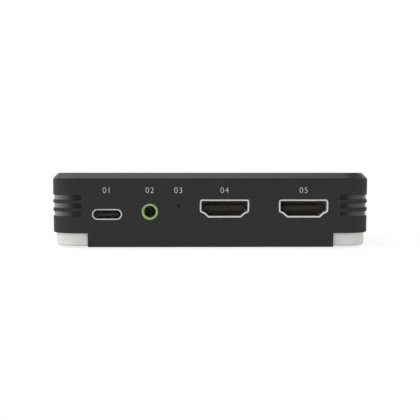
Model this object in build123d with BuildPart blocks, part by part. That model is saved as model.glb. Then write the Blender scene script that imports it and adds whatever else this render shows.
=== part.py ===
from build123d import *
import math
import os

# Video capture box: a dark case ring with a chamfered top cover, a paler base
# set in from it, and one circuit board whose sockets come out through one wall.
# Millimetres. X runs along the port wall, the port wall faces -Y and Z is up.
# The origin is on the table, under the middle of the case.

os.makedirs("parts", exist_ok=True)

# Case
case_width = 97.4
case_depth = 68.0
case_height = 22.8
case_corner = 8.0
case_draft = 0.4
wall = 1.6
stand_height = 0.4
moulding_gap = 0.15
overrun = 1.0

# Top cover
cover_chamfer = 1.7
cover_land = 0.15
cover_top_round = 0.8
cover_edge_round = 0.25
skirt_thickness = 1.2
skirt_depth = 2.2

# Body shell
shell_bottom = 4.55
shell_edge_round = 0.35
seam_depth = 0.3
seam_height = 0.12
tab_inset = 11.7

# Corner slots and the bars that fill them from inside
slot_run_x = 9.7
slot_run_y = 21.0
slot_height = 1.5
slot_pitch = 2.5
slot_count = 3
slot_rise_share = 0.5422
bar_recess = 0.3
bar_gap = 0.05
band_thickness = 1.0
band_overlap = 1.5

# Base
base_inset = 0.8
base_lift = 0.2
base_draft = 2.0
base_wall = 1.4
base_floor = 1.6
base_edge_round = 0.8
tongue_height = 2.05

# Screws, columns and posts
column_radius = 3.75
column_height = 3.3
post_radius = 3.0
case_screw_radius = 1.25
case_screw_length = 8.0
case_head_radius = 2.3
case_head_height = 1.7
case_head_depth = 0.7
pilot_depth = 9.0
board_screw_radius = 1.15
board_screw_length = 5.0
board_head_radius = 2.2
board_head_height = 1.5
board_column_radius = 2.75
board_screw_out = 1.0
board_screw_back = 9.5
thread_gap = 0.05
screw_gap = 0.2
head_gap = 0.3
cross_width = 0.6
cross_length = 2.6
cross_depth = 0.8

# Feet
foot_radius = 4.5
foot_thickness = 1.2
foot_round = 0.25
foot_gap = 0.15
foot_inset_x = 18.5
foot_inset_y = 10.5

# Circuit board
board_height = 7.0
board_thickness = 1.6
board_gap = 0.6
notch_gap = 0.6
notch_round = 1.0
hole_gap = 0.25
leg_reach = 0.7

# How high each socket's middle sits over the board
data_rise = 1.66
jack_rise = 2.47
switch_rise = 4.19
video_rise = 3.42
socket_recess = 0.12
cutout_gap = 0.08

# Large video sockets
video_width = 14.0
video_height = 4.55
video_side = 3.03
video_shelf = 1.08
video_shelf_drop = 0.47
video_floor = 9.56
video_mouth_round = 0.28
video_wall = 0.45
video_length = 11.3
video_block_length = 2.6
video_back_length = 1.5
video_tongue_width = 11.9
video_tongue_height = 1.2
video_tongue_rise = 0.2
video_tongue_recess = 0.95
video_contact_width = 0.35
video_contact_pitch = 1.0
video_top_contacts = 10
video_bottom_contacts = 9
video_leg_width = 1.2
video_leg_shares = (0.36, 0.85)
video_spring_share = 0.42
video_spring_spread = 3.6
video_spring_width = 1.6
video_spring_length = 4.2
video_spring_slit = 0.35

# Small reversible socket
data_width = 8.34
data_height = 2.56
data_wall = 0.36
data_length = 7.3
data_block_length = 1.4
data_back_length = 1.2
data_tongue_width = 6.69
data_tongue_height = 0.7
data_tongue_recess = 0.8
data_contact_width = 0.25
data_contact_pitch = 0.5
data_row_contacts = 12
data_leg_width = 1.0
data_leg_shares = (0.62, 0.90)

# Strips in both kinds of socket
strip_thickness = 0.12
strip_gap = 0.02
strip_tip = 0.4
strip_drop = 0.4
tail_length = 0.9
block_gap = 0.03

# Audio socket
jack_bore_radius = 1.8
jack_ring_radius = 2.5
jack_ring_round = 0.15
jack_spigot_radius = 2.15
jack_spigot_length = 1.2
jack_spigot_gap = 0.03
jack_body_width = 6.4
jack_body_length = 13.0
jack_chamber_width = 4.9
jack_chamber_height = 3.9
jack_end_wall = 0.7
jack_wall_gap = 0.3
jack_contact_reach = 1.65
jack_contact_thickness = 0.2
jack_contact_width = 1.6
jack_contact_top = 1.0
jack_contact_shares = (0.22, 0.40, 0.62, 0.84)

# Push switch behind its pinhole
pinhole_radius = 0.4
switch_size = 6.0
switch_base_depth = 3.0
switch_plate = 0.3
switch_well_radius = 2.1
switch_well_depth = 1.6
plunger_radius = 1.7
plunger_reach = 0.9
plunger_flange_radius = 1.95
plunger_flange_depth = 0.6
plunger_nub_radius = 0.6
plunger_gap = 0.08
stop_gap = 0.02
plunger_round = 0.2
switch_wall_gap = 0.45
dome_radius = 1.9
dome_rise = 0.35
dome_thickness = 0.08
terminal_width = 0.7
terminal_thickness = 0.3
terminal_spread = 2.25
terminal_shares = (0.2, 0.8)
bracket_leg_width = 1.1

# Chips: width, depth and height
processor_size = (15.0, 15.0, 1.2)
splitter_size = (9.0, 9.0, 0.85)
receiver_size = (8.0, 8.0, 0.85)
memory_size = (13.3, 7.5, 1.1)
flash_size = (5.2, 5.2, 1.7)
codec_size = (5.0, 5.0, 0.8)
chip_dimple_radius = 0.4
chip_dimple_depth = 0.1
chip_dimple_inset = 1.0
chip_edge = 0.1

# Leads of the small outline packages
lead_width = 0.4
lead_pitch = 1.27
lead_count = 4
lead_thickness = 0.2
lead_reach = 1.0
lead_rise = 0.75

# Heat sink and screening
pad_thickness = 0.5
pad_size = 14.0
sink_size = 22.0
sink_base = 1.6
sink_height = 6.6
fin_count = 8
fin_thickness = 0.9
can_width = 27.0
can_depth = 20.0
can_height = 3.2
can_wall = 0.2
can_gap = 0.05
can_round = 0.8
can_hole_radius = 0.6
can_hole_pitch = 2.6
can_hole_columns = 9
can_hole_rows = 6
can_lift = 0.2
frame_wall = 0.2
frame_lip = 0.8

# Small parts on the board
capacitor_size = (0.8, 1.6, 0.75)
resistor_size = (0.5, 1.0, 0.35)
terminal_share = 0.22
inductor_size = 4.0
inductor_height = 2.0
inductor_corner = 0.6
crystal_width = 3.2
crystal_depth = 2.5
crystal_height = 0.8
crystal_corner = 0.5
tall_capacitor_radius = 3.15
tall_capacitor_height = 5.0
tall_capacitor_round = 0.4
tall_base_size = 6.6
tall_base_height = 0.8
regulator_width = 2.9
regulator_depth = 1.6
regulator_height = 1.1
array_width = 2.5
array_depth = 1.0
array_height = 0.5
array_pitch = 3.2
array_count = 4

row_count = 6
row_pitch = 2.2

# How the free length between neighbours is shared out, from the first end on
port_gap_shares = (0.0837, 0.2175, 0.0901, 0.1325, 0.3796)
middle_gap_shares = (0.3212, 0.1530, 0.2099, 0.1172)
back_gap_shares = (0.2911, 0.1000, 0.1125, 0.2250, 0.0893, 0.0857)
can_column_gap_shares = (0.0492, 0.1705, 0.1522, 0.0269, 0.1253, 0.1745)
sink_column_gap_shares = (0.2294, 0.0572, 0.1715, 0.2636, 0.1111, 0.0572)

# Places between the middle and the edge of the board, and of the can over two chips
codec_depth_share = -0.44
left_crystal_depth_share = 0.30
middle_crystal_depth_share = 0.38
right_crystal_depth_share = -0.36
right_inductor_depth_share = 0.24
left_tall_depth_share = -0.10
splitter_shares = (0.44, -0.16)
receiver_shares = (-0.50, 0.03)

# Heights and reaches worked out from the sizes above
rim_height = case_height - cover_chamfer - cover_land
board_top = board_height + board_thickness
tongue_top = shell_bottom + tongue_height
base_bottom = stand_height + base_lift
floor_top = base_bottom + base_floor
column_top = floor_top + column_height
data_height_z = board_top + data_rise
jack_height_z = board_top + jack_rise
switch_height_z = board_top + switch_rise
video_height_z = board_top + video_rise
post_x = case_width / 2 - case_corner
post_y = case_depth / 2 - case_corner
tongue_inset = wall + moulding_gap
cavity_inset = tongue_inset + base_wall
seat = (Align.CENTER, Align.CENTER, Align.MIN)
hang = (Align.CENTER, Align.CENTER, Align.MAX)
corners = [(side, end) for side in (-1, 1) for end in (-1, 1)]
tab_width = case_width - 2 * tab_inset
foot_x = case_width / 2 - foot_inset_x
foot_y = case_depth / 2 - foot_inset_y
board_screw_x = post_x + board_screw_out
board_screw_y = post_y - board_screw_back


def lean(height):
    """How far the case's side has leaned in at a height, going down from the rim."""
    return (rim_height - height) * math.tan(math.radians(case_draft))


def port_face(height):
    """The port wall's outer face at a height."""
    return lean(height) - case_depth / 2


def port_plane(x, y, height):
    """A drawing plane that looks out of the port wall, with Z up in it."""
    return Plane(origin=(x, y, height), x_dir=(1, 0, 0), z_dir=(0, -1, 0))


def case_outline(inset):
    """The case's rounded outline, moved in all round, in the open sketch."""
    RectangleRounded(case_width - 2 * inset, case_depth - 2 * inset, case_corner - inset)


def case_block(bottom, top, inset, mode=Mode.ADD):
    """The leaning case form between two heights, moved in all round."""
    with BuildSketch(Plane.XY.offset(bottom)) as low:
        case_outline(inset + lean(bottom))
    with BuildSketch(Plane.XY.offset(top)) as high:
        case_outline(inset + lean(top))
    loft(sections=[low.sketch, high.sketch], ruled=True, mode=mode)


def corner_block(side, end, from_x, from_y, bottom, top, mode):
    """A block over one corner of the case, out past both of its walls."""
    reach_x = case_width / 2 + overrun - from_x
    reach_y = case_depth / 2 + overrun - from_y
    middle = (side * (from_x + reach_x / 2), end * (from_y + reach_y / 2), bottom)
    with Locations(middle):
        Box(reach_x, reach_y, top - bottom, align=seat, mode=mode)


def span(low_x, high_x, low_y, high_y):
    """A rectangle between two corners, in the open sketch."""
    with Locations(((low_x + high_x) / 2, (low_y + high_y) / 2)):
        Rectangle(high_x - low_x, high_y - low_y)


def cross_recess(height, direction):
    """A cross for a driver, cut into a screw's head from its end face."""
    for turned in ((cross_length, cross_width), (cross_width, cross_length)):
        align = hang if direction < 0 else seat
        with Locations((0, 0, height)):
            Box(turned[0], turned[1], cross_depth, align=align, mode=Mode.SUBTRACT)


def strip_profile(tip, drop, blade, tail, grow):
    """A bent strip seen from its side: a blade, a drop to the board and a tail."""
    knee = drop + strip_thickness
    span(tip - grow, knee + grow, blade - grow, blade + strip_thickness + grow)
    span(drop - grow, knee + grow, board_top - grow, blade + strip_thickness + grow)
    if tail > drop:
        span(drop - grow, tail + grow, board_top - grow, board_top + strip_thickness + grow)


def video_mouth(grow):
    """The large video socket's mouth, wide at its top, grown all round."""
    half = video_width / 2
    top = video_height / 2
    shelf = top - video_side
    with BuildSketch() as mouth:
        with BuildLine():
            Polyline(
                (0, top),
                (half, top),
                (half, shelf),
                (half - video_shelf, shelf - video_shelf_drop),
                (video_floor / 2, -top),
                (0, -top),
            )
            mirror(about=Plane.YZ)
        make_face()
        if grow:
            offset(amount=grow, kind=Kind.INTERSECTION)
        floor_points, notches, shelf_points, top_points = mouth.vertices().group_by(Axis.Y)
        fillet(floor_points + shelf_points + top_points, video_mouth_round + grow)
        fillet([mouth.vertices().sort_by_distance(notch)[0] for notch in notches], video_mouth_round)
    return mouth.sketch


def data_mouth(grow):
    """The small reversible socket's mouth, grown all round."""
    with BuildSketch() as mouth:
        SlotOverall(data_width + 2 * grow, data_height + 2 * grow)
    return mouth.sketch


def spread(low, high, lengths, gap_shares):
    """Middles of pieces in a row between two ends, with the free length shared out as gaps."""
    free = high - low - sum(lengths)
    places = []
    edge = low
    for length, share in zip(lengths, gap_shares):
        edge += share * free
        places.append(edge + length / 2)
        edge += length
    return places


def save(part, name):
    """Labels a finished piece and writes it under its name."""
    part.label = name
    export_step(part, "parts/" + name + ".step")


board_half_width = case_width / 2 - wall - lean(board_height) - board_gap
board_half_depth = case_depth / 2 - wall - lean(board_height) - board_gap

# Heights of the corner slots, in the free height between the base's tongue and the lid's skirt
band_height = slot_height + slot_pitch * (slot_count - 1) + band_overlap
(slot_middle,) = spread(
    tongue_top, rim_height - skirt_depth, (band_height,), (slot_rise_share,)
)
slot_heights = [
    slot_middle + slot_pitch * (step - (slot_count - 1) / 2) for step in range(slot_count)
]

# Places of the sockets and the switch along the port wall, between the posts
port_widths = (
    data_width + 2 * data_wall,
    jack_body_width,
    switch_size + 2 * switch_plate,
    video_width + 2 * video_wall,
    video_width + 2 * video_wall,
)
data_x, jack_x, switch_x, video_out_x, video_in_x = spread(
    post_radius - post_x, post_x - post_radius, port_widths, port_gap_shares
)

# Body shell: the leaning ring with the port wall and its tab
with BuildPart() as body_shell:
    case_block(shell_bottom, rim_height, 0)
    fillet(body_shell.edges().group_by(Axis.Z)[0], shell_edge_round)
    with BuildSketch(Plane.XY.offset(stand_height)) as tab_foot:
        span(-tab_width / 2, tab_width / 2, port_face(stand_height), port_face(stand_height) + wall)
    with BuildSketch(Plane.XY.offset(rim_height)) as tab_head:
        span(-tab_width / 2, tab_width / 2, port_face(rim_height), port_face(rim_height) + wall)
    loft(ruled=True)
    case_block(shell_bottom, rim_height, wall, mode=Mode.SUBTRACT)
    with BuildSketch(Plane.XY.offset(rim_height)):
        case_outline(-overrun)
        with BuildSketch(mode=Mode.SUBTRACT):
            case_outline(seam_depth)
    extrude(amount=-seam_height, mode=Mode.SUBTRACT)
    for side, end in corners:
        for height in slot_heights:
            corner_block(
                side,
                end,
                case_width / 2 - slot_run_x,
                case_depth / 2 - slot_run_y,
                height - slot_height / 2,
                height + slot_height / 2,
                Mode.SUBTRACT,
            )
    cut_start = port_face(rim_height) - overrun
    cut_depth = wall + lean(stand_height) + 2 * overrun
    for socket_x in (video_out_x, video_in_x):
        with BuildSketch(port_plane(socket_x, cut_start, video_height_z)):
            add(video_mouth(video_wall + cutout_gap))
        extrude(amount=-cut_depth, mode=Mode.SUBTRACT)
    with BuildSketch(port_plane(data_x, cut_start, data_height_z)):
        add(data_mouth(data_wall + cutout_gap))
    extrude(amount=-cut_depth, mode=Mode.SUBTRACT)
    with BuildSketch(port_plane(jack_x, cut_start, jack_height_z)):
        Circle(jack_ring_radius + cutout_gap)
    extrude(amount=-cut_depth, mode=Mode.SUBTRACT)
    with BuildSketch(port_plane(switch_x, cut_start, switch_height_z)):
        Circle(pinhole_radius)
    extrude(amount=-cut_depth, mode=Mode.SUBTRACT)
save(body_shell.part, "body_shell")

# Top cover: a flat lid with a wide chamfer, a skirt inside the ring and four posts
with BuildPart() as top_cover:
    with BuildSketch(Plane.XY.offset(rim_height)):
        case_outline(0)
    extrude(amount=case_height - rim_height)
    chamfer(top_cover.edges().group_by(Axis.Z)[-1], cover_chamfer)
    fillet(top_cover.edges().group_by(Axis.Z)[-1], cover_top_round)
    land_edges = [
        edge
        for edge in top_cover.edges()
        if abs(edge.center().Z - rim_height - cover_land) < cover_land / 2
        and edge.bounding_box().size.Z < cover_land / 2
    ]
    fillet(land_edges, cover_edge_round)
    with BuildSketch(Plane.XY.offset(rim_height)):
        case_outline(wall + moulding_gap)
        with BuildSketch(mode=Mode.SUBTRACT):
            case_outline(wall + moulding_gap + skirt_thickness)
    extrude(amount=-skirt_depth)
    with BuildSketch(Plane.XY.offset(rim_height)):
        with GridLocations(2 * post_x, 2 * post_y, 2, 2):
            Circle(post_radius)
    extrude(amount=column_top - rim_height)
    with BuildSketch(Plane.XY.offset(column_top)):
        with GridLocations(2 * post_x, 2 * post_y, 2, 2):
            Circle(case_screw_radius + thread_gap)
    extrude(amount=pilot_depth, mode=Mode.SUBTRACT)
save(top_cover.part, "top_cover")

# Base: the pale tray, its shoulder under the ring, tongue, columns and foot recesses
with BuildPart() as base_shell:
    shoulder_inset = base_inset + lean(shell_bottom)
    base_lean = (shell_bottom - base_bottom) * math.tan(math.radians(base_draft))
    with BuildSketch(Plane.XY.offset(base_bottom)) as base_foot:
        case_outline(shoulder_inset + base_lean)
    with BuildSketch(Plane.XY.offset(shell_bottom)) as base_shoulder:
        case_outline(shoulder_inset)
    loft(ruled=True)
    fillet(base_shell.edges().group_by(Axis.Z)[0], base_edge_round)
    case_block(shell_bottom, tongue_top, tongue_inset)
    case_block(floor_top, tongue_top, cavity_inset, mode=Mode.SUBTRACT)
    with BuildSketch(Plane.XY.offset(base_bottom)):
        pocket_y = port_face(stand_height) + tongue_inset
        pocket_half = tab_width / 2 + moulding_gap
        span(-pocket_half, pocket_half, -case_depth / 2, pocket_y)
    extrude(amount=shell_bottom - base_bottom, mode=Mode.SUBTRACT)
    with BuildSketch(Plane.XY.offset(floor_top)):
        with GridLocations(2 * post_x, 2 * post_y, 2, 2):
            Circle(column_radius)
    extrude(amount=column_height)
    with BuildSketch(Plane.XY.offset(floor_top)):
        with GridLocations(2 * board_screw_x, 2 * board_screw_y, 2, 2):
            Circle(board_column_radius)
    extrude(amount=board_height - floor_top)
    with Locations(Plane.XY.offset(board_height)):
        with GridLocations(2 * board_screw_x, 2 * board_screw_y, 2, 2):
            Hole(board_screw_radius + thread_gap, depth=board_height - floor_top)
    with Locations(Plane.XY.offset(base_bottom).rotated((180, 0, 0))):
        with GridLocations(2 * post_x, 2 * post_y, 2, 2):
            CounterBoreHole(
                case_screw_radius + screw_gap,
                case_head_radius + head_gap,
                case_head_depth + case_head_height,
                depth=column_top - base_bottom,
            )
    with BuildSketch(Plane.XY.offset(base_bottom)):
        with GridLocations(2 * foot_x, 2 * foot_y, 2, 2):
            Circle(foot_radius + foot_gap)
    extrude(amount=foot_thickness - base_bottom, mode=Mode.SUBTRACT)
save(base_shell.part, "base_shell")

# Corner bars: a curved band behind each corner with three bars that fill the slots
corner_names = {
    (-1, -1): "corner_bars_port_left",
    (1, -1): "corner_bars_port_right",
    (-1, 1): "corner_bars_far_left",
    (1, 1): "corner_bars_far_right",
}
bar_height = slot_height - 2 * bar_gap
band_bottom = slot_middle - band_height / 2
band_top = slot_middle + band_height / 2
for (side, end), corner_name in corner_names.items():
    with BuildPart() as corner_bars:
        for height in slot_heights:
            case_block(height - bar_height / 2, height + bar_height / 2, bar_recess)
        bar_x = case_width / 2 - slot_run_x + bar_gap
        bar_y = case_depth / 2 - slot_run_y + bar_gap
        corner_block(side, end, bar_x, bar_y, band_bottom, band_top, Mode.INTERSECT)
        case_block(band_bottom, band_top, wall + bar_gap)
        band_x = case_width / 2 - slot_run_x - band_overlap
        band_y = case_depth / 2 - slot_run_y - band_overlap
        corner_block(side, end, band_x, band_y, band_bottom, band_top, Mode.INTERSECT)
        case_block(band_bottom, band_top, wall + bar_gap + band_thickness, mode=Mode.SUBTRACT)
    save(corner_bars.part, corner_name)

# Rubber feet in their recesses
with BuildPart() as rubber_feet:
    with GridLocations(2 * foot_x, 2 * foot_y, 2, 2):
        Cylinder(foot_radius, foot_thickness, align=seat)
    fillet(rubber_feet.edges().group_by(Axis.Z)[0], foot_round)
save(rubber_feet.part, "rubber_feet")

# One case screw, head down, and its four places
case_head_top = base_bottom + case_head_depth + case_head_height
with BuildPart() as case_screw:
    with Locations((0, 0, case_head_top)):
        Cylinder(case_head_radius, case_head_height, align=hang)
        Cylinder(case_screw_radius, case_screw_length, align=seat)
    cross_recess(case_head_top - case_head_height, 1)
with BuildPart() as case_screws:
    with GridLocations(2 * post_x, 2 * post_y, 2, 2):
        add(case_screw.part)
save(case_screws.part, "case_screws")

# One board screw, head up, and its four places
with BuildPart() as board_screw:
    with Locations((0, 0, board_top)):
        Cylinder(board_head_radius, board_head_height, align=seat)
        Cylinder(board_screw_radius, board_screw_length, align=hang)
    cross_recess(board_top + board_head_height, -1)
with BuildPart() as board_screws:
    with GridLocations(2 * board_screw_x, 2 * board_screw_y, 2, 2):
        add(board_screw.part)
save(board_screws.part, "board_screws")

# Where each socket's mouth and back lie
video_mouth_y = port_face(video_height_z) + socket_recess
video_back_y = video_mouth_y + video_length
video_end_y = video_back_y + video_back_length
data_mouth_y = port_face(data_height_z) + socket_recess
data_back_y = data_mouth_y + data_length
data_end_y = data_back_y + data_back_length
jack_mouth_y = port_face(jack_height_z) + socket_recess
jack_front_y = port_face(jack_height_z) + wall + jack_wall_gap
plunger_tip_y = port_face(switch_height_z) + wall + switch_wall_gap
plate_front_y = plunger_tip_y + plunger_reach
base_front_y = plate_front_y + switch_plate
base_back_y = base_front_y + switch_base_depth
well_floor_y = base_front_y + switch_well_depth
video_places = {"video_out": video_out_x, "video_in": video_in_x}

# Legs that pass through the board: middle x, middle y, width and depth of each
video_leg_x = (video_width + video_wall) / 2
data_leg_x = (data_width + data_wall) / 2
bracket_leg_x = (switch_size + switch_plate) / 2
video_legs = [
    (side * video_leg_x, video_mouth_y + share * video_length, video_wall, video_leg_width)
    for side in (-1, 1)
    for share in video_leg_shares
]
data_legs = [
    (data_x + side * data_leg_x, data_mouth_y + share * data_length, data_wall, data_leg_width)
    for side in (-1, 1)
    for share in data_leg_shares
]
jack_legs = [
    (
        jack_x + (-1) ** step * (jack_contact_reach + jack_contact_thickness / 2),
        jack_front_y + share * jack_body_length,
        jack_contact_thickness,
        jack_contact_width,
    )
    for step, share in enumerate(jack_contact_shares)
]
bracket_legs = [
    (
        switch_x + side * bracket_leg_x,
        (base_front_y + base_back_y) / 2,
        switch_plate,
        bracket_leg_width,
    )
    for side in (-1, 1)
]
terminals = [
    (
        switch_x + side * terminal_spread,
        base_front_y + share * switch_base_depth,
        terminal_width,
        terminal_thickness,
    )
    for side in (-1, 1)
    for share in terminal_shares
]
board_legs = data_legs + jack_legs + bracket_legs + terminals
board_legs += [
    (socket_x + leg[0], *leg[1:]) for socket_x in video_places.values() for leg in video_legs
]

# Places on the board: along its middle, along its back, behind the video sockets and behind
# the audio socket
array_back_y = video_end_y + tail_length
jack_back_y = jack_front_y + jack_body_length
notch_edge = post_x - post_radius - notch_gap
flash_span = flash_size[0] + 2 * lead_reach
left_tall_x, processor_x, can_x, right_tall_x = spread(
    -board_half_width,
    board_half_width,
    (tall_base_size, sink_size, can_width, tall_base_size),
    middle_gap_shares,
)
*memory_x, flash_x, inductor_a_x, inductor_b_x, inductor_c_x = spread(
    -notch_edge,
    notch_edge,
    (memory_size[0], memory_size[0], flash_span, inductor_size, inductor_size, inductor_size),
    back_gap_shares,
)
array_y, can_y, can_capacitors_y, can_resistors_y, inductor_y, regulator_y = spread(
    array_back_y,
    board_half_depth,
    (array_depth, can_depth, capacitor_size[1], resistor_size[1], inductor_size, regulator_depth),
    can_column_gap_shares,
)
(
    front_resistors_y,
    front_capacitors_y,
    processor_y,
    memory_y,
    back_capacitors_y,
    back_resistors_y,
) = spread(
    jack_back_y,
    board_half_depth,
    (
        resistor_size[1],
        capacitor_size[1],
        sink_size,
        memory_size[1],
        capacitor_size[1],
        resistor_size[1],
    ),
    sink_column_gap_shares,
)
inductor_x = (inductor_a_x, inductor_b_x, inductor_c_x)
middle_gap_x = (processor_x + sink_size / 2 + can_x - can_width / 2) / 2
under_can = [
    (can_x + shares[0] * can_width / 2, can_y + shares[1] * can_depth / 2)
    for shares in (splitter_shares, receiver_shares)
]

# Circuit board, notched round the four posts, with its screw holes and leg slots
with BuildPart() as main_board:
    with BuildSketch(Plane.XY.offset(board_height)) as board_outline:
        Rectangle(2 * board_half_width, 2 * board_half_depth)
        notch_x = board_half_width - post_x + post_radius + notch_gap
        notch_y = board_half_depth - post_y + post_radius + notch_gap
        with GridLocations(2 * board_half_width - notch_x, 2 * board_half_depth - notch_y, 2, 2):
            Rectangle(notch_x, notch_y, mode=Mode.SUBTRACT)
        fillet(board_outline.vertices(), notch_round)
        with GridLocations(2 * board_screw_x, 2 * board_screw_y, 2, 2):
            Circle(board_screw_radius + screw_gap, mode=Mode.SUBTRACT)
        for leg_x, leg_y, leg_width, leg_depth in board_legs:
            with Locations((leg_x, leg_y)):
                Rectangle(leg_width + 2 * hole_gap, leg_depth + 2 * hole_gap, mode=Mode.SUBTRACT)
    extrude(amount=board_thickness)
save(main_board.part, "main_board")

# Large video sockets: a drawn metal shell, an insulator with its tongue, and strips
tongue_top_z = video_height_z + video_tongue_rise + video_tongue_height / 2
tongue_low_z = tongue_top_z - video_tongue_height
video_tip_y = video_mouth_y + video_tongue_recess + strip_tip
for video_name, video_x in video_places.items():
    with BuildPart() as video_shell:
        with BuildSketch(port_plane(video_x, video_mouth_y, video_height_z)):
            add(video_mouth(video_wall))
            add(video_mouth(0), mode=Mode.SUBTRACT)
        extrude(amount=-video_length)
        for leg_x, leg_y, leg_width, leg_depth in video_legs:
            with Locations((video_x + leg_x, leg_y, video_height_z)):
                Box(leg_width, leg_depth, video_height_z - board_height + leg_reach, align=hang)
        spring_y = video_mouth_y + video_spring_share * video_length
        with BuildSketch(Plane.XY.offset(video_height_z)):
            for side in (-1, 1):
                with Locations((video_x + side * video_spring_spread, spring_y)):
                    Rectangle(video_spring_width + 2 * video_spring_slit, video_spring_length)
                with Locations((video_x + side * video_spring_spread, spring_y + video_spring_slit)):
                    Rectangle(video_spring_width, video_spring_length, mode=Mode.SUBTRACT)
        extrude(amount=video_height, mode=Mode.SUBTRACT)
    save(video_shell.part, video_name + "_shell")

    strip_rows = [
        (video_top_contacts, tongue_top_z, video_end_y - strip_drop, video_end_y + tail_length),
        (
            video_bottom_contacts,
            tongue_low_z - strip_thickness,
            video_end_y - 2 * strip_drop,
            video_end_y - 2 * strip_drop,
        ),
    ]
    with BuildPart() as video_insulator:
        with BuildSketch(port_plane(video_x, video_back_y - video_block_length, video_height_z)):
            add(video_mouth(-block_gap))
        extrude(amount=-video_block_length)
        tongue_length = video_length - video_tongue_recess
        with Locations((video_x, video_back_y, tongue_low_z)):
            Box(
                video_tongue_width,
                tongue_length,
                video_tongue_height,
                align=(Align.CENTER, Align.MAX, Align.MIN),
            )
        with Locations((video_x, video_back_y, board_top)):
            Box(
                video_width + 2 * video_wall,
                video_back_length,
                video_height_z + video_height / 2 - board_top,
                align=(Align.CENTER, Align.MIN, Align.MIN),
            )
        for count, blade, drop, tail in strip_rows:
            for step in range(count):
                strip_x = video_x + video_contact_pitch * (step - (count - 1) / 2)
                with BuildSketch(Plane.YZ.offset(strip_x)):
                    strip_profile(video_tip_y, drop, blade, tail, strip_gap)
                extrude(amount=video_contact_width / 2 + strip_gap, both=True, mode=Mode.SUBTRACT)
    save(video_insulator.part, video_name + "_insulator")

    with BuildPart() as video_contacts:
        for count, blade, drop, tail in strip_rows:
            for step in range(count):
                strip_x = video_x + video_contact_pitch * (step - (count - 1) / 2)
                with BuildSketch(Plane.YZ.offset(strip_x)):
                    strip_profile(video_tip_y, drop, blade, tail, 0)
                extrude(amount=video_contact_width / 2, both=True)
    save(video_contacts.part, video_name + "_contacts")

# Small reversible data socket: shell, insulator with its thin tongue, and strips
with BuildPart() as data_shell:
    with BuildSketch(port_plane(data_x, data_mouth_y, data_height_z)):
        add(data_mouth(data_wall))
        add(data_mouth(0), mode=Mode.SUBTRACT)
    extrude(amount=-data_length)
    for leg_x, leg_y, leg_width, leg_depth in data_legs:
        with Locations((leg_x, leg_y, data_height_z)):
            Box(leg_width, leg_depth, data_height_z - board_height + leg_reach, align=hang)
save(data_shell.part, "data_socket_shell")

data_tip_y = data_mouth_y + data_tongue_recess + strip_tip
data_rows = [
    (
        data_height_z + data_tongue_height / 2,
        data_end_y - strip_drop,
        data_end_y + tail_length,
    ),
    (
        data_height_z - data_tongue_height / 2 - strip_thickness,
        data_end_y - 2 * strip_drop,
        data_end_y - 2 * strip_drop,
    ),
]
data_strips = [
    (data_x + data_contact_pitch * (step - (data_row_contacts - 1) / 2), *row)
    for step in range(data_row_contacts)
    for row in data_rows
]
with BuildPart() as data_insulator:
    with BuildSketch(port_plane(data_x, data_back_y - data_block_length, data_height_z)):
        add(data_mouth(-block_gap))
    extrude(amount=-data_block_length)
    with Locations((data_x, data_back_y, data_height_z)):
        Box(
            data_tongue_width,
            data_length - data_tongue_recess,
            data_tongue_height,
            align=(Align.CENTER, Align.MAX, Align.CENTER),
        )
    with Locations((data_x, data_back_y, board_top)):
        Box(
            data_width,
            data_back_length,
            data_height_z + data_height / 2 - board_top,
            align=(Align.CENTER, Align.MIN, Align.MIN),
        )
    for strip_x, blade, drop, tail in data_strips:
        with BuildSketch(Plane.YZ.offset(strip_x)):
            strip_profile(data_tip_y, drop, blade, tail, strip_gap)
        extrude(amount=data_contact_width / 2 + strip_gap, both=True, mode=Mode.SUBTRACT)
save(data_insulator.part, "data_socket_insulator")

with BuildPart() as data_contacts:
    for strip_x, blade, drop, tail in data_strips:
        with BuildSketch(Plane.YZ.offset(strip_x)):
            strip_profile(data_tip_y, drop, blade, tail, 0)
        extrude(amount=data_contact_width / 2, both=True)
save(data_contacts.part, "data_socket_contacts")

# Audio socket: a green front ring, a black body on the board and four contacts
jack_plane = port_plane(jack_x, jack_front_y, jack_height_z)
with BuildPart() as jack_ring:
    with BuildSketch(jack_plane):
        Circle(jack_ring_radius)
    extrude(amount=jack_front_y - jack_mouth_y)
    fillet(jack_ring.edges().sort_by(Axis.Y)[0], jack_ring_round)
    with BuildSketch(jack_plane):
        Circle(jack_spigot_radius)
    extrude(amount=-jack_spigot_length)
    with BuildSketch(jack_plane.offset(jack_front_y - jack_mouth_y)):
        Circle(jack_bore_radius)
    extrude(amount=-(jack_front_y - jack_mouth_y + jack_spigot_length), mode=Mode.SUBTRACT)
save(jack_ring.part, "audio_socket_ring")

with BuildPart() as jack_body:
    with Locations((jack_x, jack_front_y, board_top)):
        Box(
            jack_body_width,
            jack_body_length,
            2 * jack_rise,
            align=(Align.CENTER, Align.MIN, Align.MIN),
        )
    with BuildSketch(jack_plane.offset(-jack_spigot_length)):
        Rectangle(jack_chamber_width, jack_chamber_height)
    extrude(
        amount=jack_spigot_length + jack_end_wall - jack_body_length,
        mode=Mode.SUBTRACT,
    )
    with BuildSketch(jack_plane):
        Circle(jack_spigot_radius + jack_spigot_gap)
    extrude(amount=-jack_spigot_length - jack_spigot_gap, mode=Mode.SUBTRACT)
    for leg_x, leg_y, leg_width, leg_depth in jack_legs:
        with Locations((leg_x, leg_y, board_top)):
            Box(
                leg_width + 2 * block_gap,
                leg_depth + 2 * block_gap,
                jack_rise + jack_contact_top + block_gap,
                align=seat,
                mode=Mode.SUBTRACT,
            )
save(jack_body.part, "audio_socket_body")

with BuildPart() as jack_contacts:
    for leg_x, leg_y, leg_width, leg_depth in jack_legs:
        with Locations((leg_x, leg_y, jack_height_z + jack_contact_top)):
            Box(
                leg_width,
                leg_depth,
                jack_height_z + jack_contact_top - board_height + leg_reach,
                align=hang,
            )
save(jack_contacts.part, "audio_socket_contacts")

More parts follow.
